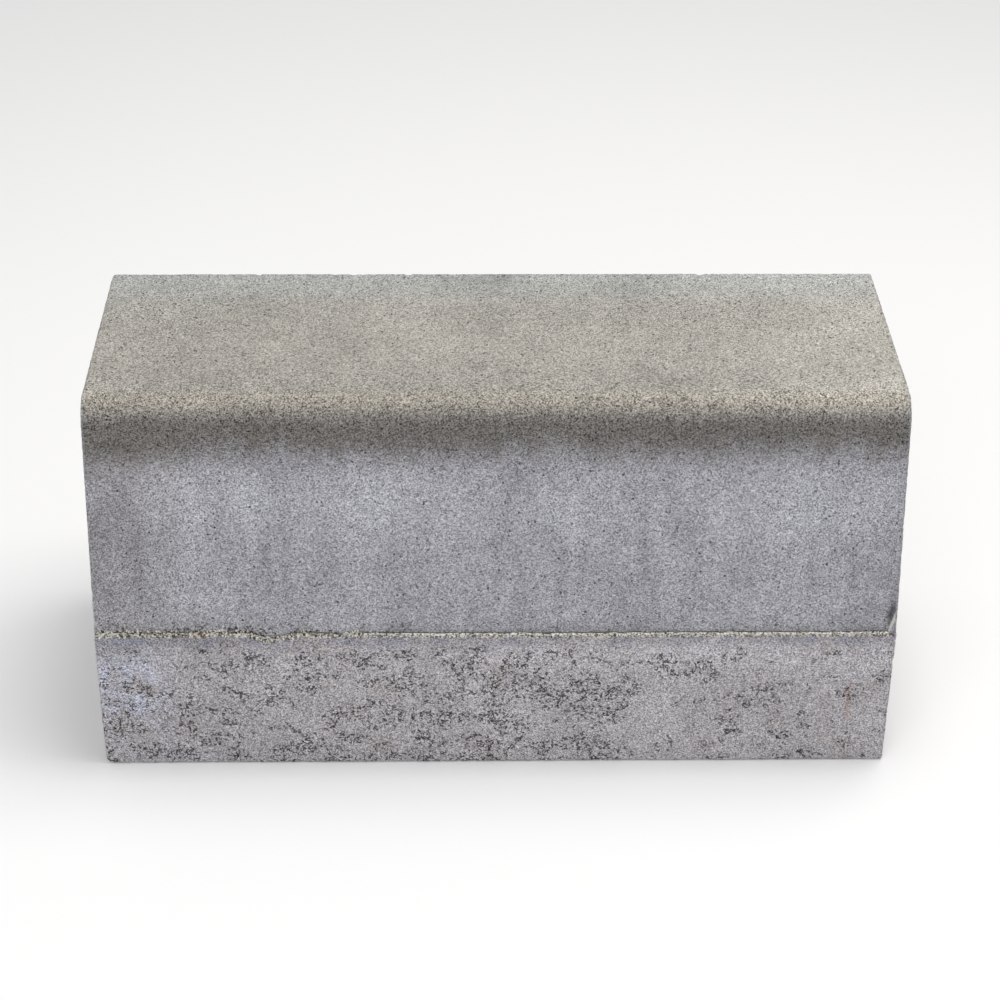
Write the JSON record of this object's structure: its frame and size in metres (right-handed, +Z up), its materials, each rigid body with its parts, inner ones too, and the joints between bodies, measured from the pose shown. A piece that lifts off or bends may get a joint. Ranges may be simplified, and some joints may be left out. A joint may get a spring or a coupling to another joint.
{
  "type": "concrete kerb stone",
  "caption": "Solid road kerb block with a vertical foot, a raked road face set back on a narrow ledge, a rounded nose and a flat top; square plain ends.",
  "frame": {"origin": "centre of the base", "axes": "+X along the kerb, -Y towards the road, +Z up"},
  "size_m": [0.5, 0.2, 0.25],
  "materials": {
    "concrete": "pressed grey concrete, sandy and matt on the upper faces, coarser and pitted on the foot"
  },
  "bodies": {
    "root": {"kerb_stone": "concrete"}
  },
  "joints": []
}
